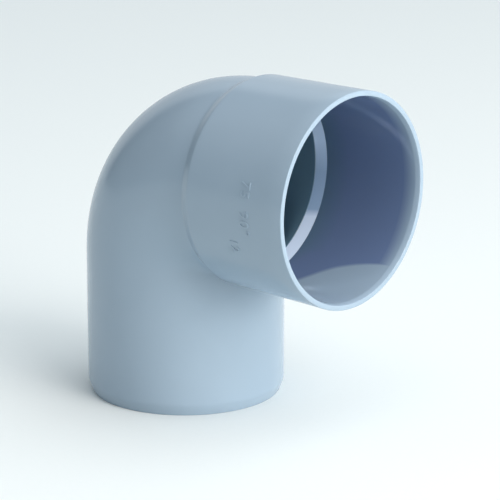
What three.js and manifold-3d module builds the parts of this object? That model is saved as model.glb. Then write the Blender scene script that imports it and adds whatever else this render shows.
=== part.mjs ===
// A 90 degree bend for 75 mm solvent-weld pipe: a plain chamfered spigot at the foot, a tight
// bend, and a socket at the top with a conical stop inside it. Millimetres, +Z up.
//
// The real fitting is one injection moulding. Here it is cut across into its working sections,
// each a closed solid with a fine joint to the next, so that every section has its own name.
//
// The origin is the centre of the footprint, on the surface that the spigot stands on. The leg
// rises along +Z and the socket opens along +X. Everything is symmetric about the plane y = 0.

import * as THREE from 'three';
import { mergeVertices } from 'three/addons/utils/BufferGeometryUtils.js';
import Module from 'manifold-3d';

// ---------------------------------------------------------------- driving dimensions

const PIPE_RADIUS = 37.5; // the outside of the spigot, and of the pipe that the socket takes
const WALL = 2.1;
const LEG_LENGTH = 54.9; // from the foot to the start of the bend
const BEND_RADIUS = 32.9; // centre line; less than the pipe radius, so the throat is a crease
const REACH = 82.5; // from the leg's axis to the mouth of the socket

const SPIGOT_CHAMFER = { height: 4.3, edgeRadius: 35.85 };

const SHOULDER_START = 32.6; // where the cone up to the collar leaves the bend
const SHOULDER_LENGTH = 4.0;
const COLLAR_RADIUS = { back: 39.4, mouth: 40.2 }; // it widens towards the mouth by the draft

const STOP_START = 34.0; // the cone inside, from the bore up to the socket's wall
const STOP_END = 38.2;
const STOP_BACK = { height: 0.6, slope: 1.9 }; // its back, which keeps clear of the shoulder
const SOCKET_RADIUS = { back: 37.65, mouth: 37.85 }; // drafted the same way inside
const LEAD_IN = { length: 2.2, radius: 38.3 }; // the bevel that guides the pipe in

const SPIGOT_END_HEIGHT = 12; // the sections' joints
const LEG_TOP = 44;
const SOCKET_START = 42;
const BEND_CUTS = [30, 60]; // degrees round the throat, from level with the leg's top
const RIM_DEPTH = 8;
const GAP = 0.3;

const ROUND_STEPS = 72; // facets in a full circle
const BEND_STEPS = 16; // facets along the quarter bend
const OVERSHOOT = 1; // a cutter runs this far past the face that it cuts
const PLUG_LENGTH = 5; // a straight length's tapered end, inside the bend that it joins

// ---------------------------------------------------------------- worked out from them

const BORE_RADIUS = PIPE_RADIUS - WALL;
const AXIS_HEIGHT = LEG_LENGTH + BEND_RADIUS; // the socket's axis above the foot
const LEG_X = (PIPE_RADIUS - REACH) / 2; // the leg's axis, which centres the footprint on x = 0
const COLLAR_START = SHOULDER_START + SHOULDER_LENGTH;
const RIM_START = REACH - RIM_DEPTH;

// ---------------------------------------------------------------- solids

const wasm = await Module();
wasm.setup();

/** Gives a closed geometry as a solid that can be joined and cut. */
function solidFrom(geometry) {
  const bare = geometry.index ? geometry.toNonIndexed() : geometry.clone();
  bare.deleteAttribute('normal');
  bare.deleteAttribute('uv');
  const merged = mergeVertices(bare, 1e-4);
  return new wasm.Manifold(
    new wasm.Mesh({
      numProp: 3,
      vertProperties: new Float32Array(merged.attributes.position.array),
      triVerts: new Uint32Array(merged.index.array),
    }),
  );
}

/** Gives a solid back as a geometry with flat-shaded facets. */
function geometryFrom(solid) {
  const mesh = solid.getMesh();
  const geometry = new THREE.BufferGeometry();
  geometry.setAttribute('position', new THREE.BufferAttribute(mesh.vertProperties, 3));
  geometry.setIndex(new THREE.BufferAttribute(mesh.triVerts, 1));
  const faceted = geometry.toNonIndexed();
  faceted.computeVertexNormals();
  return faceted;
}

/** Turns a profile of [radius, height] points about +Z. A ring's profile closes on itself. */
function lathe(profile, steps = ROUND_STEPS) {
  const points = profile.map(([radius, height]) => new THREE.Vector2(radius, height));
  return new THREE.LatheGeometry(points, steps).rotateX(Math.PI / 2);
}

/** The same profile turned about the leg's axis, with heights measured from the foot. */
function aboutLeg(profile) {
  return solidFrom(lathe(profile).translate(LEG_X, 0, 0));
}

/** The same profile turned about the socket's axis, measured along +X from the leg's axis. */
function aboutSocket(profile) {
  return solidFrom(lathe(profile).rotateY(Math.PI / 2).translate(LEG_X, 0, AXIS_HEIGHT));
}

/** A ring's profile from its inner and outer outlines, both listed in the axis's direction. */
function ring(outer, inner) {
  return [...outer, ...[...inner].reverse(), outer[0]];
}

/** A round bar's profile, which starts and ends on the axis. */
function bar(radius, from, to) {
  return [
    [0, from],
    [radius, from],
    [radius, to],
    [0, to],
  ];
}

/** The same bar with its end at joint tapered, so that it plugs into the bend beside it. */
function plug(radius, end, joint) {
  const taper = Math.sign(joint - end) * PLUG_LENGTH;
  const profile = [
    [0, end],
    [radius, end],
    [radius, joint],
    [radius - PLUG_LENGTH, joint + taper],
    [0, joint + taper],
  ];
  return taper > 0 ? profile : profile.reverse();
}

/**
 * A quarter turn of a round bar about the bend's centre. The bar is thicker than twice the bend
 * radius, so its section is cut off at the turning axis, and the two straight bars beside it
 * fill in what is missing there.
 */
function quarterBend(radius) {
  const crossing = Math.acos(-BEND_RADIUS / radius);
  const section = [[0, -radius * Math.sin(crossing)]];
  for (let step = -ROUND_STEPS / 2; step <= ROUND_STEPS / 2; step += 1) {
    const angle = (step * 2 * Math.PI) / ROUND_STEPS;
    if (Math.abs(angle) < crossing) {
      section.push([BEND_RADIUS + radius * Math.cos(angle), radius * Math.sin(angle)]);
    }
  }
  section.push([0, radius * Math.sin(crossing)]);
  const centre = [LEG_X + BEND_RADIUS, 0, LEG_LENGTH];
  const wheel = lathe(section, 4 * BEND_STEPS).rotateX(Math.PI / 2).translate(...centre);
  const side = 4 * PIPE_RADIUS;
  const quarter = new THREE.BoxGeometry(side, side, side);
  quarter.translate(centre[0] - side / 2, 0, centre[2] + side / 2);
  return solidFrom(wheel).intersect(solidFrom(quarter));
}

/** The radius at a distance along the socket of a wall that widens from start to the mouth. */
function drafted(radius, start, distance) {
  return radius.back + ((radius.mouth - radius.back) * (distance - start)) / (REACH - start);
}

// ---------------------------------------------------------------- the sections

/** The end that goes into the next fitting's socket: a plain tube with its edge chamfered. */
function spigotEnd() {
  const { height, edgeRadius } = SPIGOT_CHAMFER;
  const top = SPIGOT_END_HEIGHT - GAP / 2;
  return aboutLeg(
    ring(
      [
        [edgeRadius, 0],
        [PIPE_RADIUS, height],
        [PIPE_RADIUS, top],
      ],
      [
        [BORE_RADIUS, 0],
        [BORE_RADIUS, top],
      ],
    ),
  );
}

/** The plain tube above it, up to just under the collar. */
function spigotLeg() {
  const bottom = SPIGOT_END_HEIGHT + GAP / 2;
  const top = LEG_TOP - GAP / 2;
  return aboutLeg(
    ring(
      [
        [PIPE_RADIUS, bottom],
        [PIPE_RADIUS, top],
      ],
      [
        [BORE_RADIUS, bottom],
        [BORE_RADIUS, top],
      ],
    ),
  );
}

/** The outline of the stop's back, from the bore out to the socket's wall. */
function stopBack() {
  return [
    [BORE_RADIUS + STOP_BACK.height, STOP_START],
    [SOCKET_RADIUS.back, STOP_START + STOP_BACK.slope],
  ];
}

/** The whole turn, with the shoulder outside, the throat's crease and the seat of the stop. */
function wholeBend() {
  const foot = LEG_TOP - OVERSHOOT;
  const front = SOCKET_START + OVERSHOOT;
  const shoulder = [
    [0, SHOULDER_START],
    [PIPE_RADIUS, SHOULDER_START],
    [COLLAR_RADIUS.back, COLLAR_START],
    [drafted(COLLAR_RADIUS, COLLAR_START, front), front],
    [0, front],
  ];
  const socket = [
    [0, STOP_END],
    [SOCKET_RADIUS.back, STOP_END],
    [drafted(SOCKET_RADIUS, STOP_END, front), front],
    [0, front],
  ];
  const stopSeat = [
    [0, STOP_START - GAP],
    ...stopBack().map(([radius, distance]) => [radius + GAP, distance - GAP]),
    [SOCKET_RADIUS.back + GAP, STOP_END + GAP],
    [0, STOP_END + GAP],
  ];
  const outside = aboutLeg(plug(PIPE_RADIUS, foot, LEG_LENGTH))
    .add(quarterBend(PIPE_RADIUS))
    .add(aboutSocket(plug(PIPE_RADIUS, STOP_END, BEND_RADIUS)))
    .add(aboutSocket(shoulder));
  const bore = aboutLeg(plug(BORE_RADIUS, foot - OVERSHOOT, LEG_LENGTH))
    .add(quarterBend(BORE_RADIUS))
    .add(aboutSocket(plug(BORE_RADIUS, STOP_END + OVERSHOOT, BEND_RADIUS)))
    .add(aboutSocket(stopSeat))
    .add(aboutSocket(socket));
  return outside.subtract(bore);
}

/** The space between two planes that meet along a line just outside the throat. */
function wedge(from, to) {
  const reach = 5 * PIPE_RADIUS;
  const inset = GAP / 2 / Math.sin(THREE.MathUtils.degToRad(to - from) / 2);
  const along = (degrees, length, start) => {
    const angle = THREE.MathUtils.degToRad(degrees);
    return new THREE.Vector2(start.x - length * Math.cos(angle), start.y + length * Math.sin(angle));
  };
  const throat = new THREE.Vector2(LEG_X + SOCKET_START, LEG_TOP);
  const edge = along((from + to) / 2, inset, throat);
  const outline = new THREE.Shape([edge, along(to, reach, edge), along(from, reach, edge)]);
  const prism = new THREE.ExtrudeGeometry(outline, { depth: reach, bevelEnabled: false });
  return solidFrom(prism.rotateX(Math.PI / 2).translate(0, reach / 2, 0));
}

/** One of the three lengths of the bend, so that none of them wraps far round the throat. */
function bendSection(index) {
  const cuts = [0, ...BEND_CUTS, 90];
  return wholeBend().intersect(wedge(cuts[index], cuts[index + 1]));
}

/** The cone inside that the pipe's end comes up against. The leg's bore cuts its lower edge. */
function pipeStop() {
  const cone = ring([...stopBack(), [SOCKET_RADIUS.back, STOP_END]], [[BORE_RADIUS, STOP_START]]);
  return aboutSocket(cone).subtract(aboutLeg(bar(BORE_RADIUS, LEG_TOP, AXIS_HEIGHT)));
}

/** The straight length of the socket that grips the pipe. */
function socketCollar() {
  const back = SOCKET_START + GAP / 2;
  const front = RIM_START - GAP / 2;
  return aboutSocket(
    ring(
      [
        [drafted(COLLAR_RADIUS, COLLAR_START, back), back],
        [drafted(COLLAR_RADIUS, COLLAR_START, front), front],
      ],
      [
        [drafted(SOCKET_RADIUS, STOP_END, back), back],
        [drafted(SOCKET_RADIUS, STOP_END, front), front],
      ],
    ),
  );
}

/** The mouth, with a bevel inside it that leads the pipe in. */
function mouthRim() {
  const back = RIM_START + GAP / 2;
  const bevel = REACH - LEAD_IN.length;
  return aboutSocket(
    ring(
      [
        [drafted(COLLAR_RADIUS, COLLAR_START, back), back],
        [COLLAR_RADIUS.mouth, REACH],
      ],
      [
        [drafted(SOCKET_RADIUS, STOP_END, back), back],
        [drafted(SOCKET_RADIUS, STOP_END, bevel), bevel],
        [LEAD_IN.radius, REACH],
      ],
    ),
  );
}

// ---------------------------------------------------------------- the fitting

const SECTIONS = [
  ['spigot_end', spigotEnd, 0x8ca2b0],
  ['spigot_leg', spigotLeg, 0x8fa4b2],
  ['bend_lower', () => bendSection(0), 0x8ea2b1],
  ['bend_middle', () => bendSection(1), 0x8fa3b2],
  ['bend_upper', () => bendSection(2), 0x90a4b3],
  ['pipe_stop', pipeStop, 0x8496ae],
  ['socket_collar', socketCollar, 0x8da2b0],
  ['mouth_rim', mouthRim, 0x93a8b6],
];

const group = new THREE.Group();
for (const [name, make, color] of SECTIONS) {
  const material = new THREE.MeshStandardMaterial({ color, roughness: 0.35, metalness: 0 });
  const mesh = new THREE.Mesh(geometryFrom(make()), material);
  mesh.name = name;
  group.add(mesh);
}

export default group;
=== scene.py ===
# %% [markdown]
# # A 90 degree bend for solvent-weld pipe
# The real fitting is a single injection moulding in PVC-U: a plain chamfered spigot at the foot,
# a tight bend, and a socket with a conical stop inside it. It has no bolts, seals or clips.
# The looks are made in the same lengths as the frame, end to end and with nothing between them,
# so that they read as one moulding. Lengths are in millimetres until a piece is finished.

# %% Load the frame
import math

import bmesh
import bpy
from mathutils import Matrix, Vector
from mathutils.kdtree import KDTree


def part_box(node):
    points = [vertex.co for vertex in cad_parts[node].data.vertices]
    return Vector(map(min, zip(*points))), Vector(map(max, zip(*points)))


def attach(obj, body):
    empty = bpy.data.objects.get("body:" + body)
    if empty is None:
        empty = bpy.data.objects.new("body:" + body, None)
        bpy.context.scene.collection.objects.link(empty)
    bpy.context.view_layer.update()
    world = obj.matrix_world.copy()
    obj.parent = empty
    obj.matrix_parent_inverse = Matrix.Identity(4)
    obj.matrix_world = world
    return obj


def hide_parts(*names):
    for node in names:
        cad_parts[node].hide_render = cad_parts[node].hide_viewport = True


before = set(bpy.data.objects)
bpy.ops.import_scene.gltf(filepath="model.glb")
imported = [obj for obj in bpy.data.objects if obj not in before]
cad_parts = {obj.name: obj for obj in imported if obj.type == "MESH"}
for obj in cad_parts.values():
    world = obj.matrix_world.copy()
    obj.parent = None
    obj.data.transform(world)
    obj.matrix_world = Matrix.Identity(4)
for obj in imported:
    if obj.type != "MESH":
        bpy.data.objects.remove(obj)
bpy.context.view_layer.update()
print("nodes", sorted(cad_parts))

# %% [markdown]
# ## Where everything is
# Each place comes from the frame's own boxes, so nothing has to be fitted by eye. The leg's axis
# is the middle of the leg's box, and the socket's axis is the middle of the rim's.

# %% Places taken from the frame
MM = 0.001
X, Z = 0, 2


def low(node, axis):
    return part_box(node)[0][axis] / MM


def high(node, axis):
    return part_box(node)[1][axis] / MM


def middle(first, second):
    return round((first + second) / 2, 4)


LEG_X = middle(low("spigot_leg", X), high("spigot_leg", X))
PIPE_RADIUS = round((high("spigot_leg", X) - low("spigot_leg", X)) / 2, 4)
FOOT = 0.0
END_TOP = middle(high("spigot_end", Z), low("spigot_leg", Z))
LEG_TOP = middle(high("spigot_leg", Z), low("bend_lower", Z))
SOCKET_START = middle(high("bend_upper", X), low("socket_collar", X))
RIM_START = middle(high("socket_collar", X), low("mouth_rim", X))
MOUTH = round(high("mouth_rim", X), 4)
AXIS_HEIGHT = middle(low("mouth_rim", Z), high("mouth_rim", Z))
MOUTH_RADIUS = round((high("mouth_rim", Z) - low("mouth_rim", Z)) / 2, 4)
STOP_START = round(low("pipe_stop", X), 4)
STOP_END = round(high("pipe_stop", X), 4)
print("leg axis", LEG_X, "pipe radius", PIPE_RADIUS, "socket axis", AXIS_HEIGHT)

# %% [markdown]
# ## The moulding's other sizes
# A wall of about 2 mm is usual for a 75 mm fitting. The bend's centre line is tighter than the
# pipe's radius, so the inside of the bend is a crease. The collar and the socket widen by
# less than a degree towards the mouth: that draft lets the core pull out of the mould.

# %% Wall, bend and shoulder
WALL = 2.1
BORE_RADIUS = PIPE_RADIUS - WALL
BEND_RADIUS = 32.9
BEND_X = LEG_X + BEND_RADIUS
BEND_Z = AXIS_HEIGHT - BEND_RADIUS
SHOULDER_LENGTH = 4.0
COLLAR_BACK_RADIUS = 39.4
SOCKET_BACK_RADIUS = 37.65
SOCKET_MOUTH_RADIUS = 37.85
SHOULDER_FILLET = 0.22
print("bend centre", BEND_X, BEND_Z, "bore", BORE_RADIUS)


def drafted(back, mouth, start, x):
    """The radius at x of a wall that widens evenly from start to the mouth."""
    return back + (mouth - back) * (x - start) / (MOUTH - start)


def collar_radius(x):
    return drafted(COLLAR_BACK_RADIUS, MOUTH_RADIUS, BEND_X + SHOULDER_LENGTH, x)


def socket_radius(x):
    return drafted(SOCKET_BACK_RADIUS, SOCKET_MOUTH_RADIUS, STOP_END, x)


# %% [markdown]
# ## The outline of the shoulder
# Between the bend and the collar there is a short cone. A moulding has no sharp corners there,
# so the three straight lines of the outline run into each other by a small rounding. The inside
# has the stop's seat at the same place: the wall steps back from the bore to the socket.

# %% Outlines along the socket


def rounded_max(first, second, reach):
    """The larger of two heights, eased where they are closer together than reach."""
    near = max(reach - abs(first - second), 0) / reach
    return max(first, second) + near * near * reach / 4


def outside_radius(x):
    cone = PIPE_RADIUS + (x - BEND_X) * (COLLAR_BACK_RADIUS - PIPE_RADIUS) / SHOULDER_LENGTH
    foot = rounded_max(PIPE_RADIUS, cone, SHOULDER_FILLET)
    return -rounded_max(-foot, -collar_radius(x), SHOULDER_FILLET)


SEAT_LATE = 0.3
SEAT_LENGTH = 1.4


def inside_radius(x):
    seat = STOP_START + SEAT_LATE
    share = min(max((x - seat) / SEAT_LENGTH, 0), 1)
    return BORE_RADIUS + (socket_radius(max(x, STOP_END)) - BORE_RADIUS) * share


print("shoulder", [round(outside_radius(BEND_X + step), 2) for step in range(6)])

# %% [markdown]
# ## Finishing a piece
# Every piece ends in the same few steps. Its doubles are merged, its faces are turned outwards,
# it is brought to metres, and its edges are shaded sharp only where the angle is real.
# The object stays at the origin, unturned, as the frame's nodes do.

# %% Make an object from a shape
SHARP = math.radians(28)
TOUCHING = 1e-4


def finish_piece(shape, name):
    bmesh.ops.remove_doubles(shape, verts=shape.verts[:], dist=TOUCHING)
    bmesh.ops.recalc_face_normals(shape, faces=shape.faces[:])
    open_edges = sum(not edge.is_manifold for edge in shape.edges)
    bmesh.ops.scale(shape, verts=shape.verts[:], vec=(MM, MM, MM))
    mesh = bpy.data.meshes.new(name)
    shape.to_mesh(mesh)
    shape.free()
    mesh.shade_smooth()
    mesh.set_sharp_from_angle(angle=SHARP)
    piece = bpy.data.objects.new(name, mesh)
    bpy.context.scene.collection.objects.link(piece)
    print(name, len(mesh.polygons), "faces,", open_edges, "open edges")
    return piece


# %% [markdown]
# ## Turned rings
# The straight lengths are rings, and a lathe is the plain way to make a ring: one closed
# outline of the wall, spun a full turn. Corners that a mould would round are bevelled after
# the spin, by picking the edge loops that stand at that corner of the outline.

# %% Spin an outline and round its corners
ROUND = 192
CORNER_STEPS = 3


def turned_ring(outline, corners):
    """outline: (radius, height) points of the wall. corners: {point: rounding}."""
    shape = bmesh.new()
    points = [shape.verts.new((radius, 0, height)) for radius, height in outline]
    for first, second in zip(points, points[1:] + points[:1]):
        shape.edges.new((first, second))
    bmesh.ops.spin(
        shape, geom=shape.verts[:] + shape.edges[:], cent=(0, 0, 0), axis=(0, 0, 1),
        angle=math.tau, steps=ROUND, use_merge=True, use_duplicate=False)
    for (radius, height), rounding in corners.items():
        loop = [edge for edge in shape.edges if all(
            abs(math.hypot(v.co.x, v.co.y) - radius) < TOUCHING
            and abs(v.co.z - height) < TOUCHING for v in edge.verts)]
        bmesh.ops.bevel(
            shape, geom=loop, offset=rounding, offset_type="OFFSET", segments=CORNER_STEPS,
            profile=0.5, affect="EDGES", material=-1)
    return shape


def stand_on_leg(shape):
    bmesh.ops.translate(shape, verts=shape.verts[:], vec=(LEG_X, 0, 0))
    return shape


def lie_in_socket(shape):
    """Turns the spun axis from +Z to +X; heights were given as places along X."""
    turn = Matrix.Rotation(math.pi / 2, 3, "Y")
    bmesh.ops.rotate(shape, verts=shape.verts[:], cent=(0, 0, 0), matrix=turn)
    bmesh.ops.translate(shape, verts=shape.verts[:], vec=(0, 0, AXIS_HEIGHT))
    return shape


# %% [markdown]
# ## The spigot
# The foot is chamfered so that it starts easily into the next socket and doesn't scrape the
# solvent cement off the wall. A moulded chamfer has no sharp corner: it is rounded most where it
# meets the wall, and that soft edge is what catches the light. The leg above it is a plain tube.

# %% The spigot's end and the leg
CHAMFER_HEIGHT = 4.3
CHAMFER_RADIUS = 35.85
FOOT_ROUNDING = 0.18
CHAMFER_ROUNDING = 0.8
BORE_ROUNDING = 0.12

spigot_end = finish_piece(stand_on_leg(turned_ring(
    [(CHAMFER_RADIUS, FOOT), (PIPE_RADIUS, CHAMFER_HEIGHT), (PIPE_RADIUS, END_TOP),
     (BORE_RADIUS, END_TOP), (BORE_RADIUS, FOOT)],
    {(CHAMFER_RADIUS, FOOT): FOOT_ROUNDING, (PIPE_RADIUS, CHAMFER_HEIGHT): CHAMFER_ROUNDING,
     (BORE_RADIUS, FOOT): BORE_ROUNDING})), "moulded_spigot_end")
spigot_leg = finish_piece(stand_on_leg(turned_ring(
    [(PIPE_RADIUS, END_TOP), (PIPE_RADIUS, LEG_TOP), (BORE_RADIUS, LEG_TOP),
     (BORE_RADIUS, END_TOP)], {})), "moulded_leg")

# %% [markdown]
# ## The bend
# A plain sweep can't make this bend. The pipe is thicker than twice the bend's radius, so a
# swept tube would fold through itself at the throat. A mould maker builds it as two straight
# tubes that meet at a mitre, with a quarter turn of pipe over the outside of them.
# So half of it is made: a short tube cut off by the mitre plane, and the outer arc of its rim
# spun 45 degrees about the bend's centre. A mirror across the mitre plane gives the rest.
# The tube's uprights are divided after the cut, so the rows follow the crease.

# %% Half a bend, and its mirror image
ROWS = 26
BEND_STEPS = 40
SHORTEST_UPRIGHT = 2
NEARLY_TOUCHING = 2e-3
MITRE = Vector((1, 0, 1)).normalized()
ALONG_MITRE = Vector((1, 0, -1)).normalized()
TURN_CENTRE = Vector((BEND_X, 0, BEND_Z))


def everything(shape):
    return shape.verts[:] + shape.edges[:] + shape.faces[:]


def half_bend(radius):
    shape = bmesh.new()
    ring = bmesh.ops.create_circle(shape, segments=ROUND, radius=radius)["verts"]
    bmesh.ops.translate(shape, verts=ring, vec=(LEG_X, 0, LEG_TOP))
    grown = bmesh.ops.extrude_edge_only(shape, edges=shape.edges[:])["geom"]
    rim = [part for part in grown if isinstance(part, bmesh.types.BMVert)]
    bmesh.ops.translate(shape, verts=rim, vec=(0, 0, BEND_Z - LEG_TOP))
    reach = math.sqrt(radius ** 2 - BEND_RADIUS ** 2)
    for side in (-reach, reach):
        pole = Vector((BEND_X, side, BEND_Z))
        min(rim, key=lambda vert: (vert.co - pole).length).co = pole
    bmesh.ops.bisect_plane(
        shape, geom=everything(shape), dist=TOUCHING, plane_co=TURN_CENTRE, plane_no=MITRE,
        clear_outer=True)
    uprights = [edge for edge in shape.edges
                if abs(edge.verts[0].co.z - edge.verts[1].co.z) > SHORTEST_UPRIGHT]
    bmesh.ops.subdivide_edges(shape, edges=uprights, cuts=ROWS, use_grid_fill=True)
    arc = [edge for edge in shape.edges
           if all(abs(vert.co.z - BEND_Z) < TOUCHING for vert in edge.verts)]
    arc_points = list({vert for edge in arc for vert in edge.verts})
    bmesh.ops.spin(
        shape, geom=arc + arc_points, cent=TURN_CENTRE, axis=(0, 1, 0), angle=math.pi / 4,
        steps=BEND_STEPS, use_merge=False, use_duplicate=False)
    bmesh.ops.remove_doubles(shape, verts=shape.verts[:], dist=TOUCHING)
    return shape


def bare_bend(radius):
    shape = half_bend(radius)
    turn = Matrix((
        (MITRE.x, 0, ALONG_MITRE.x), (0, 1, 0), (MITRE.z, 0, ALONG_MITRE.z))).to_4x4()
    place = Matrix.Translation(TURN_CENTRE) @ turn
    bmesh.ops.mirror(
        shape, geom=everything(shape), matrix=place.inverted(), merge_dist=TOUCHING, axis="X")
    bmesh.ops.remove_doubles(shape, verts=shape.verts[:], dist=NEARLY_TOUCHING)
    bmesh.ops.bisect_plane(
        shape, geom=everything(shape), dist=TOUCHING, plane_co=(SOCKET_START, 0, 0),
        plane_no=(1, 0, 0), clear_outer=True)
    return shape


# %% [markdown]
# ## The shoulder and the throat
# The short tube on the socket's side is moved out to the shoulder's outline, away from the
# socket's axis. The crease belongs to the leg as well, so its points slide straight down the
# leg's wall until they are on the shoulder. Then the crease is softened: a mould's core and
# cavity are rounded there, and passes of smoothing do the same, each on a narrower strip of
# points beside the crease. The bore's crease gets fewer passes, so it stays a little tighter.

# %% Shape the skin of the bend
CREASE_PASSES = (2.4, 2.0, 1.6, 1.2, 0.9)
BORE_PASSES = CREASE_PASSES[2:]
ON_THE_PLANE = 0.01


def mitre_side(point):
    return (point.x - BEND_X) + (point.z - BEND_Z)


def bend_skin(radius, radius_at, passes):
    shape = bare_bend(radius)
    crease = [vert for vert in shape.verts
              if vert.co.x > BEND_X - TOUCHING and abs(mitre_side(vert.co)) < ON_THE_PLANE]
    creased = set(crease)
    for vert in shape.verts:
        if vert.co.x < BEND_X or vert in creased or mitre_side(vert.co) < 0:
            continue
        scale = radius_at(vert.co.x) / radius
        vert.co.y *= scale
        vert.co.z = AXIS_HEIGHT + (vert.co.z - AXIS_HEIGHT) * scale
    for vert in crease:
        wall = radius_at(vert.co.x)
        vert.co.z = AXIS_HEIGHT - math.sqrt(wall ** 2 - vert.co.y ** 2)
    tree = KDTree(len(crease))
    for index, vert in enumerate(crease):
        tree.insert(vert.co, index)
    tree.balance()
    distances = {vert: tree.find(vert.co)[2] for vert in shape.verts}
    for reach in passes:
        near = [vert for vert, distance in distances.items() if distance < reach]
        bmesh.ops.smooth_vert(
            shape, verts=near, factor=0.5, use_axis_x=True, use_axis_y=True, use_axis_z=True)
    print("skin of", radius, "has", len(shape.verts), "points,", len(crease), "on the crease")
    return shape


# %% [markdown]
# ## One closed wall
# The outer and the inner skin are two open tubes with the same number of points round each end.
# Bridging the pairs of rims closes them into one wall, with no boolean to leave slivers.

# %% Join the two skins


def rim_edges(shape):
    return [edge for edge in shape.edges if edge.is_boundary]


bend_shape = bend_skin(PIPE_RADIUS, outside_radius, CREASE_PASSES)
inner_shape = bend_skin(BORE_RADIUS, inside_radius, BORE_PASSES)
inner_mesh = bpy.data.meshes.new("inner_skin")
inner_shape.to_mesh(inner_mesh)
inner_shape.free()
bend_shape.from_mesh(inner_mesh)
bpy.data.meshes.remove(inner_mesh)
for axis, place in ((Z, LEG_TOP), (X, SOCKET_START)):
    rims = [edge for edge in rim_edges(bend_shape)
            if all(abs(vert.co[axis] - place) < ON_THE_PLANE for vert in edge.verts)]
    bmesh.ops.bridge_loops(bend_shape, edges=rims)
    print("bridged", len(rims), "edges at", place)
bend = finish_piece(bend_shape, "moulded_bend")

# %% [markdown]
# ## The stop
# Inside the socket a cone takes the wall from the bore out to the socket. The pipe's end comes
# up against it. It is a turned ring like the others, sunk a hair into the wall so that no gap
# shows behind it. The leg's bore comes up through its lowest part, so a boolean takes that out,
# as the mould's core does.

# %% The cone that the pipe comes up against
STOP_BACK_HEIGHT = 0.6
STOP_BACK_LENGTH = 1.9
STOP_ROUNDING = 0.15
SUNK = 0.04

stop = finish_piece(lie_in_socket(turned_ring(
    [(BORE_RADIUS, STOP_START), (BORE_RADIUS + STOP_BACK_HEIGHT, STOP_START),
     (SOCKET_BACK_RADIUS + SUNK, STOP_START + STOP_BACK_LENGTH),
     (SOCKET_BACK_RADIUS + SUNK, STOP_END)],
    {(BORE_RADIUS, STOP_START): STOP_ROUNDING})), "moulded_stop")

core_shape = bmesh.new()
bmesh.ops.create_cone(
    core_shape, cap_ends=True, segments=ROUND, radius1=BORE_RADIUS, radius2=BORE_RADIUS,
    depth=AXIS_HEIGHT - LEG_TOP)
bmesh.ops.translate(
    core_shape, verts=core_shape.verts[:], vec=(LEG_X, 0, middle(AXIS_HEIGHT, LEG_TOP)))
core = finish_piece(core_shape, "core")
cut = stop.modifiers.new("leg_bore", "BOOLEAN")
cut.operation = "DIFFERENCE"
cut.solver = "EXACT"
cut.object = core
bpy.context.view_layer.update()
cut_mesh = bpy.data.meshes.new_from_object(
    stop.evaluated_get(bpy.context.evaluated_depsgraph_get()))
stop.modifiers.remove(cut)
stop.data = cut_mesh
stop.data.name = "moulded_stop"
stop.data.set_sharp_from_angle(angle=SHARP)
bpy.data.objects.remove(core)
print("stop after the cut:", len(cut_mesh.polygons), "faces")

# %% [markdown]
# ## The collar and the mouth
# The collar is a straight ring with the mould's draft. At the mouth a bevel inside leads the
# pipe in, and the rim's face is flat, with edges just soft enough to hold a line of light.

# %% The socket's collar and its rim
LEAD_IN_LENGTH = 2.2
LEAD_IN_RADIUS = 38.3
LEAD_IN_X = MOUTH - LEAD_IN_LENGTH
OUTER_EDGE_ROUNDING = 0.35
INNER_EDGE_ROUNDING = 0.15
LEAD_IN_ROUNDING = 0.3

collar = finish_piece(lie_in_socket(turned_ring(
    [(collar_radius(SOCKET_START), SOCKET_START), (collar_radius(RIM_START), RIM_START),
     (socket_radius(RIM_START), RIM_START), (socket_radius(SOCKET_START), SOCKET_START)],
    {})), "moulded_collar")
rim = finish_piece(lie_in_socket(turned_ring(
    [(collar_radius(RIM_START), RIM_START), (MOUTH_RADIUS, MOUTH), (LEAD_IN_RADIUS, MOUTH),
     (socket_radius(LEAD_IN_X), LEAD_IN_X), (socket_radius(RIM_START), RIM_START)],
    {(MOUTH_RADIUS, MOUTH): OUTER_EDGE_ROUNDING, (LEAD_IN_RADIUS, MOUTH): INNER_EDGE_ROUNDING,
     (socket_radius(LEAD_IN_X), LEAD_IN_X): LEAD_IN_ROUNDING})), "moulded_rim")

# %% [markdown]
# ## Raised numerals
# A fitting carries its size in raised characters, cut into the cavity of the mould. Here they
# are plain numerals only: the pipe's diameter and the angle, and a short number beside them.
# Text is made as a mesh first, and then bent round the collar: across the letter is round the
# collar, and up the letter is along it. Each character is sunk a little into the wall, so that
# it has no gap under it, and stands so low that it stays within the width of the mouth.

# %% Bend text round the collar
CAPITAL_SHARE = 0.73
LETTER_SPACING = 1.12
RAISED = 0.27
TEXT_SUNK = 0.12
TEXT_ROUNDING = 0.08


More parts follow.
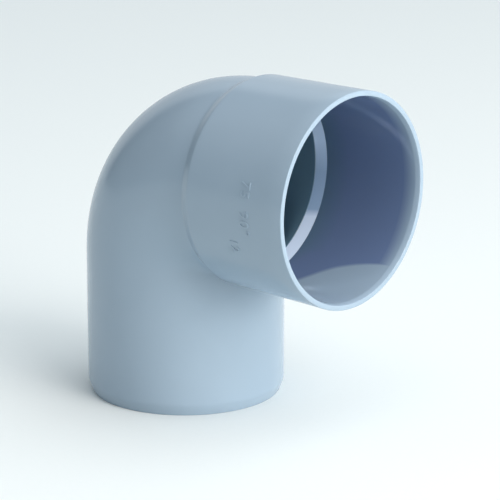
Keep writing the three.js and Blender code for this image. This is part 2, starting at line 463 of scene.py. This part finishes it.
def raised_text(words, name, letter_height, x, angle):
    """x is the middle of the letters' height. angle goes from the top, towards -Y, in degrees."""
    curve = bpy.data.curves.new(name, "FONT")
    curve.body = words
    curve.size = letter_height / CAPITAL_SHARE
    curve.align_x = "CENTER"
    curve.space_character = LETTER_SPACING
    curve.resolution_u = 6
    curve.extrude = (RAISED + TEXT_SUNK) / 2 - TEXT_ROUNDING
    curve.bevel_depth = TEXT_ROUNDING
    curve.bevel_resolution = 1
    flat = bpy.data.objects.new(name, curve)
    bpy.context.scene.collection.objects.link(flat)
    bpy.context.view_layer.update()
    mesh = bpy.data.meshes.new_from_object(
        flat.evaluated_get(bpy.context.evaluated_depsgraph_get()))
    bpy.data.objects.remove(flat)
    shape = bmesh.new()
    shape.from_mesh(mesh)
    bpy.data.meshes.remove(mesh)
    bmesh.ops.remove_doubles(shape, verts=shape.verts[:], dist=TOUCHING)
    lift = (RAISED - TEXT_SUNK) / 2
    for vert in shape.verts:
        across, up, out = vert.co
        along = x + up - letter_height / 2
        round_by = math.radians(angle) + across / COLLAR_BACK_RADIUS
        radius = collar_radius(along) + out + lift
        vert.co = (
            along, -math.sin(round_by) * radius, AXIS_HEIGHT + math.cos(round_by) * radius)
    return finish_piece(shape, name)


size_mark = raised_text("75  90°", "raised_numerals", letter_height=4.4, x=42.6, angle=87)
batch_mark = raised_text("12", "raised_batch_numerals", letter_height=3.8, x=36.4, angle=109)

# %% [markdown]
# ## Riding on the frame
# There is nothing to move here: a rigid fitting has one body. Each length takes the place of
# its node, and the bend takes the place of the three that share its turn.

# %% Tie the pieces to the frame
STANDS_FOR = {
    spigot_end: ["spigot_end"],
    spigot_leg: ["spigot_leg"],
    bend: ["bend_lower", "bend_middle", "bend_upper"],
    stop: ["pipe_stop"],
    collar: ["socket_collar"],
    rim: ["mouth_rim"],
    size_mark: [],
    batch_mark: [],
}
for piece, nodes in STANDS_FOR.items():
    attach(piece, "root")
    if nodes:
        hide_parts(*nodes)
print("pieces", len(STANDS_FOR))

# %% [markdown]
# ## Building a material
# One function adds a node with its settings and its links. Colours are given as sRGB hex, as a
# colour card gives them, and one function turns them to the linear values that light needs.

# %% Helpers for materials


def linear(hex_colour):
    parts = [int(hex_colour[i:i + 2], 16) / 255 for i in (1, 3, 5)]
    return [c / 12.92 if c <= 0.04045 else ((c + 0.055) / 1.055) ** 2.4 for c in parts] + [1]


def add(tree, kind, links=None, **settings):
    """Adds a node. links: {input: output socket or value}. settings are its properties."""
    node = tree.nodes.new(kind)
    for name, value in settings.items():
        setattr(node, name, value)
    for socket, value in (links or {}).items():
        if isinstance(value, bpy.types.NodeSocket):
            tree.links.new(value, node.inputs[socket])
        else:
            node.inputs[socket].default_value = value
    return node


def new_material(name):
    material = bpy.data.materials.new(name)
    material.use_nodes = True
    material.node_tree.nodes.clear()
    return material, material.node_tree


print("the middle grey #808080 is", round(linear("#808080")[0], 3), "as a linear value")

# %% [markdown]
# ## Three tints of one plastic, two of them with painted light and shade
# The pigment is blue grey right through, but it doesn't look the same all over. Outside it is an
# even tint that only drifts a little. In the socket each reflection takes on the colour of the
# wall opposite, so the wall looks deeper and bluer, nearly green grey at the stop, and
# paler again at the mouth and along the bottom, where the most light comes in. The stop's cone
# looks paler above and below than in its middle, where the light falls on it. These differences
# could be left to the light alone, but light that does it would also change the outside, so they
# are painted into each surface's tint here: painted shade deep in the socket, painted light at
# its mouth and along its bottom, and painted highlights above and below on the stop. Each kind
# of tint has one function, which reads the Object coordinates.

# %% Tints
TINT_CLOUDS = 45.0
DRIFT = 4.0
EVEN_TINT_STARTS, EVEN_TINT_ENDS = 0.35, 0.65
# The band of painted shade deep in the socket, and the painted light along its bottom.
PAINTED_SHADE_STARTS, PAINTED_SHADE_ENDS = 0.35, 0.88
BOTTOM_STARTS = AXIS_HEIGHT - 0.79 * PIPE_RADIUS
BOTTOM = AXIS_HEIGHT - PIPE_RADIUS
BOTTOM_PAINTED_LIGHT = 1.5


def per_mm(size):
    """The scale of a pattern whose features are this many millimetres across."""
    return 1 / (size * MM)


def clouds(tree, place):
    return add(tree, "ShaderNodeTexNoise", {
        "Vector": place, "Scale": per_mm(TINT_CLOUDS), "Detail": 3.0,
        "Roughness": 0.5}).outputs["Fac"]


def even_tint(tree, place, first, second):
    """A tint that drifts between two near colours."""
    tint = add(tree, "ShaderNodeValToRGB", {"Fac": clouds(tree, place)})
    positions = (EVEN_TINT_STARTS, EVEN_TINT_ENDS)
    for element, position, colour in zip(tint.color_ramp.elements, positions, (first, second)):
        element.position = position
        element.color = linear(colour)
    return tint.outputs["Color"]


def painted_socket_light_and_shade(tree, place, painted_shade_at_stop, painted_shade_halfway, painted_light_at_mouth):
    """Painted shade and light: a tint that changes slowly from the shaded stop to the lit mouth,
    and sooner along the lit bottom.
    """
    axes = add(tree, "ShaderNodeSeparateXYZ", {"Vector": place}).outputs
    drift = add(tree, "ShaderNodeMath", {
        0: clouds(tree, place), 1: DRIFT * MM, 2: axes["X"]}, operation="MULTIPLY_ADD")
    along = add(tree, "ShaderNodeMapRange", {
        "Value": drift.outputs["Value"], "From Min": STOP_START * MM, "From Max": MOUTH * MM})
    painted_bottom_light = add(tree, "ShaderNodeMapRange", {
        "Value": axes["Z"], "From Min": BOTTOM_STARTS * MM, "From Max": BOTTOM * MM,
        "To Max": BOTTOM_PAINTED_LIGHT})
    share = add(tree, "ShaderNodeMath", {
        0: along.outputs["Result"], 1: painted_bottom_light.outputs["Result"], 2: along.outputs["Result"]},
        operation="MULTIPLY_ADD")
    tint = add(tree, "ShaderNodeValToRGB", {"Fac": share.outputs["Value"]})
    ramp = tint.color_ramp.elements
    ramp.new(PAINTED_SHADE_STARTS)
    ramp.new(PAINTED_SHADE_ENDS)
    for element, colour in zip(ramp, (painted_shade_at_stop, painted_shade_halfway, painted_shade_halfway, painted_light_at_mouth)):
        element.color = linear(colour)
    return tint.outputs["Color"]


def painted_light_by_height(tree, place, *steps):
    """Painted light: a tint that changes with the height. steps: (height in mm, colour), from the
    lowest up.
    """
    height = add(tree, "ShaderNodeSeparateXYZ", {"Vector": place}).outputs["Z"]
    lowest, highest = steps[0][0], steps[-1][0]
    share = add(tree, "ShaderNodeMapRange", {
        "Value": height, "From Min": lowest * MM, "From Max": highest * MM})
    tint = add(tree, "ShaderNodeValToRGB", {"Fac": share.outputs["Result"]})
    ramp = tint.color_ramp.elements
    for step_height, _ in steps[1:-1]:
        ramp.new((step_height - lowest) / (highest - lowest))
    for element, (_, colour) in zip(ramp, steps):
        element.color = linear(colour)
    return tint.outputs["Color"]


print("the socket's bottom is paler from", round(BOTTOM_STARTS, 1), "down to", round(BOTTOM, 1))

# %% [markdown]
# ## Injection moulded PVC-U
# PVC-U is a hard, dense plastic. A polished cavity leaves it with a soft gloss: an IOR near 1.53
# and a fairly low roughness, so that it mirrors the horizon of the room with a blurred edge.
# Three things keep it from looking like glass. The wall shrinks as it cools, which leaves a very
# shallow waviness, some 15 mm from crest to crest. The cavity's polish leaves a fine grain,
# which is finer on the real one: it is drawn at 0.9 mm so that it can be seen. And handling
# leaves faint dull patches, a few millimetres across, that only change the gloss.

# %% The PVC-U material
PVC_IOR = 1.53
DULL_PATCHES = 6.0
DULLING_STARTS, DULLING_ENDS = 0.35, 0.75
WAVE_LENGTH = 15.0
WAVE_DEPTH = 0.10
GRAIN = 0.9
GRAIN_DEPTH = 0.004


def moulded_pvc(name, tint_maker, tints, glossiest, dullest):
    material, tree = new_material(name)
    place = add(tree, "ShaderNodeTexCoord").outputs["Object"]
    tint = tint_maker(tree, place, *tints)
    patches = add(tree, "ShaderNodeTexNoise", {
        "Vector": place, "Scale": per_mm(DULL_PATCHES), "Detail": 5.0, "Roughness": 0.6})
    dulled = add(tree, "ShaderNodeMapRange", {
        "Value": patches.outputs["Fac"], "From Min": DULLING_STARTS,
        "From Max": DULLING_ENDS, "To Min": glossiest, "To Max": dullest})
    waves = add(tree, "ShaderNodeTexNoise", {
        "Vector": place, "Scale": per_mm(WAVE_LENGTH), "Detail": 1.0, "Roughness": 0.4})
    grain = add(tree, "ShaderNodeTexNoise", {
        "Vector": place, "Scale": per_mm(GRAIN), "Detail": 2.0, "Roughness": 0.5})
    wavy = add(tree, "ShaderNodeBump", {
        "Height": waves.outputs["Fac"], "Strength": 1.0, "Distance": WAVE_DEPTH * MM})
    grained = add(tree, "ShaderNodeBump", {
        "Height": grain.outputs["Fac"], "Strength": 1.0, "Distance": GRAIN_DEPTH * MM,
        "Normal": wavy.outputs["Normal"]})
    surface = add(tree, "ShaderNodeBsdfPrincipled", {
        "Base Color": tint, "Roughness": dulled.outputs["Result"],
        "Normal": grained.outputs["Normal"], "IOR": PVC_IOR, "Metallic": 0.0})
    add(tree, "ShaderNodeOutputMaterial", {"Surface": surface.outputs["BSDF"]})
    print("material", name, "with", len(tree.nodes), "nodes")
    return material


# %% [markdown]
# ## One plastic, three surfaces
# The mould's cavity shapes the outside, and its steel core shapes the inside. The core is often
# polished further, so that the part slips off it, and the roughness is lower there. The inside's
# tint carries painted shade and painted light. The end of that core shapes the stop's cone, which
# has the tint that changes with the height: painted light, paler above and below than in its
# middle. Its heights are given from the socket's axis.

# %% Outside, inside and stop
OUTSIDE, INSIDE = 0, 1
cavity_side = moulded_pvc(
    "injection_moulded_pvc_u", even_tint, ("#94a8b9", "#98acbd"),
    glossiest=0.14, dullest=0.20)
# The inside's tint is painted shade deep in the bore and painted light at the mouth and along the
# bottom.
inside_with_painted_shade = moulded_pvc(
    "injection_moulded_pvc_u_inside_painted_shade", painted_socket_light_and_shade, ("#628091", "#6f82a6", "#9fb3c4"),
    glossiest=0.09, dullest=0.15)
# Painted light on the stop's cone: paler above and below, where the light falls on it, than in
# its middle.
PAINTED_STOP_LIGHT = [(AXIS_HEIGHT + height, colour) for height, colour in (
    (-20.3, "#cfe0f5"), (-17.8, "#93adca"), (-4.0, "#93adca"), (8.0, "#bfd7f0"))]
stop_with_painted_light = moulded_pvc(
    "injection_moulded_pvc_u_stop_painted_light", painted_light_by_height, PAINTED_STOP_LIGHT,
    glossiest=0.08, dullest=0.14)

# %% [markdown]
# ## The inside of the wall
# Each length of wall holds faces of both sides of the mould, so each face is given its material
# by the way it faces: it is on the inside if it faces the pipe's own centre line. That is the
# leg's axis below, the socket's axis beyond the bend, and the arc between them in the bend.

# %% Give each face its side of the wall
FACING = 0.5


def nearest_on_centre_line(point):
    if point.z < BEND_Z and mitre_side(point) < 0:
        return Vector((LEG_X, 0, point.z))
    if point.x > BEND_X:
        return Vector((point.x, 0, AXIS_HEIGHT))
    spoke = (point - TURN_CENTRE) * Vector((1, 0, 1))
    return TURN_CENTRE + spoke.normalized() * BEND_RADIUS


def faces_the_bore(face):
    centre = face.center / MM
    inwards = nearest_on_centre_line(centre) - centre
    return face.normal.dot(inwards.normalized()) > FACING


for piece in STANDS_FOR:
    piece.data.materials.clear()
    piece.data.materials.append(cavity_side)
    piece.data.materials.append(inside_with_painted_shade)
    for face in piece.data.polygons:
        face.material_index = OUTSIDE
# Faces of the bore get the inside's material, with its painted shade and painted light.
for piece in (collar, rim, bend, spigot_leg, spigot_end):
    for face in piece.data.polygons:
        if faces_the_bore(face):
            face.material_index = INSIDE
    print(piece.name, sum(face.material_index for face in piece.data.polygons), "inside")
# The stop gets the tint with painted light.
stop.data.materials.clear()
stop.data.materials.append(stop_with_painted_light)

# %% [markdown]
# ## The floor
# A sheet of matt painted board, nearly white and slightly cool. Its fibres show only as the
# faintest mottling. It is wide enough to fill the view from most sides, and it is the bright
# half of everything that the plastic mirrors. Its width is in metres, as in the finished scene.

# %% Floor
FLOOR_SIZE = 6.0
FIBRE_LENGTH = 2
BOARD_TINTS = ("#eaf0f0", "#edf2f2")
floor_shape = bmesh.new()
bmesh.ops.create_grid(floor_shape, x_segments=1, y_segments=1, size=FLOOR_SIZE / 2)
floor_mesh = bpy.data.meshes.new("floor")
floor_shape.to_mesh(floor_mesh)
floor_shape.free()
floor = bpy.data.objects.new("floor", floor_mesh)
bpy.context.scene.collection.objects.link(floor)
board, board_tree = new_material("matt_painted_board")
board_place = add(board_tree, "ShaderNodeTexCoord").outputs["Object"]
fibre = add(board_tree, "ShaderNodeTexNoise",
            {"Vector": board_place, "Scale": per_mm(FIBRE_LENGTH), "Detail": 2.0})
shade = add(board_tree, "ShaderNodeValToRGB", {"Fac": fibre.outputs["Fac"]})
for element, colour in zip(shade.color_ramp.elements, BOARD_TINTS):
    element.color = linear(colour)
board_surface = add(board_tree, "ShaderNodeBsdfPrincipled",
                    {"Base Color": shade.outputs["Color"], "Roughness": 0.85, "IOR": 1.4})
add(board_tree, "ShaderNodeOutputMaterial", {"Surface": board_surface.outputs["BSDF"]})
floor.data.materials.append(board)
print("floor", FLOOR_SIZE, "m wide")

# %% [markdown]
# ## The room
# The room is darker than the floor, and the plastic mirrors that as the darker half above its
# horizon. It is open on four sides, as the camera sees it: a narrow bright doorway straight
# behind the fitting, which lights the bend's outer edge, a wide window on the right for the
# leg's right edge and the rim, a weaker and higher one on the left for the shaded side, and a
# pale ceiling. Each is a lobe of the world that grows as a direction nears the one it faces.
# The world could hold one sky picture instead, but lobes can be moved one by one. The camera
# itself sees a plain pale backdrop, where it looks past the floor.

# %% Room
ROOM_TINT = "#f3faff"
BACKDROP = "#eef4f5"
# Each opening: the direction it lies in, the closeness to it at which the glow starts, the
# closeness at which it is full, and its strength.
OPENINGS = [
    ((-0.66, 0.75, 0.05), 0.72, 0.86, 0.75),
    ((-0.62, -0.68, 0.39), 0.40, 0.95, 0.37),
    ((0.7, 0.7, 0.15), 0.10, 0.90, 0.92),
    ((0, 0, 1), 0.30, 0.90, 0.54),
]
world = bpy.data.worlds.new("room")
bpy.context.scene.world = world
world.use_nodes = True
sky = world.node_tree
sky.nodes.clear()
seen = add(sky, "ShaderNodeLightPath").outputs["Is Camera Ray"]
direction = add(sky, "ShaderNodeTexCoord").outputs["Generated"]
brightness = 0.0
for facing, start, full, strength in OPENINGS:
    closeness = add(sky, "ShaderNodeVectorMath", {
        0: direction, 1: facing}, operation="DOT_PRODUCT")
    glow = add(sky, "ShaderNodeMapRange", {
        "Value": closeness.outputs["Value"], "From Min": start, "From Max": full,
        "To Min": 0.0, "To Max": strength}, interpolation_type="SMOOTHSTEP")
    brightness = add(sky, "ShaderNodeMath", {
        0: brightness, 1: glow.outputs["Result"]}, operation="ADD").outputs["Value"]
room = add(sky, "ShaderNodeBackground", {"Color": linear(ROOM_TINT), "Strength": brightness})
backdrop = add(sky, "ShaderNodeBackground", {"Color": linear(BACKDROP), "Strength": 1.0})
mixed = add(sky, "ShaderNodeMixShader", {
    0: seen, 1: room.outputs["Background"], 2: backdrop.outputs["Background"]})
add(sky, "ShaderNodeOutputWorld", {"Surface": mixed.outputs["Shader"]})
print("openings", len(OPENINGS), "world nodes", len(sky.nodes))

# %% [markdown]
# ## The panels
# Three soft panels do the rest. One stands high in front of the mouth and lights the socket and
# the rim. One stands low beside it and brightens the leg and the floor on the right, so that the
# shadow falls softly to the left. The widest hangs overhead, and keeps the shadow from closing.
# They are large for their power on purpose: a small bright panel would show as a hard white
# patch on the glossy collar. Places and sizes are in metres, and powers in watts.

# %% Panels


def panel(name, place, width, height, power, colour):
    light = bpy.data.lights.new(name, "AREA")
    light.shape = "RECTANGLE"
    light.size = width
    light.size_y = height
    light.energy = power
    light.color = linear(colour)[:3]
    lamp = bpy.data.objects.new(name, light)
    bpy.context.scene.collection.objects.link(lamp)
    lamp.location = place
    lamp.rotation_euler = (FITTING - Vector(place)).to_track_quat("-Z", "Y").to_euler()


WARM_WHITE = "#fff8f1"
WHITE = "#ffffff"
FITTING = Vector((0, 0, 0.06))
panel("mouth_panel", (1.25, -0.16, 0.85), 0.9, 0.9, 10.0, WARM_WHITE)
panel("low_panel", (1.5, 0.1, 0.28), 0.9, 0.45, 13.5, WARM_WHITE)
panel("top_panel", (0.65, 0.0, 1.5), 1.8, 1.8, 8.0, WHITE)
print("panels", sorted(light.name for light in bpy.data.lights))

# %% [markdown]
# ## Camera
# A long lens from a little above, turned so that both the socket's mouth and the bend show. Its
# place is worked out from two angles and a distance to a point in the middle of the fitting.

# %% Camera
FOCAL_LENGTH = 217.84
SENSOR_WIDTH = 36
AZIMUTH = math.radians(41.565)
ELEVATION = math.radians(16.038)
DISTANCE = 1.125
TARGET = Vector((0.010155, 0, 0.060127))
BACK = Vector((
    math.sin(AZIMUTH) * math.cos(ELEVATION), -math.cos(AZIMUTH) * math.cos(ELEVATION),
    math.sin(ELEVATION)))
lens = bpy.data.cameras.new("camera")
lens.lens = FOCAL_LENGTH
lens.sensor_width = SENSOR_WIDTH
camera = bpy.data.objects.new("camera", lens)
bpy.context.scene.collection.objects.link(camera)
camera.location = TARGET + BACK * DISTANCE
camera.rotation_euler = BACK.to_track_quat("Z", "Y").to_euler()
bpy.context.scene.camera = camera
bpy.context.scene.view_settings.view_transform = "Standard"
bpy.context.scene.view_settings.look = "None"
print("camera at", [round(value, 3) for value in camera.location])
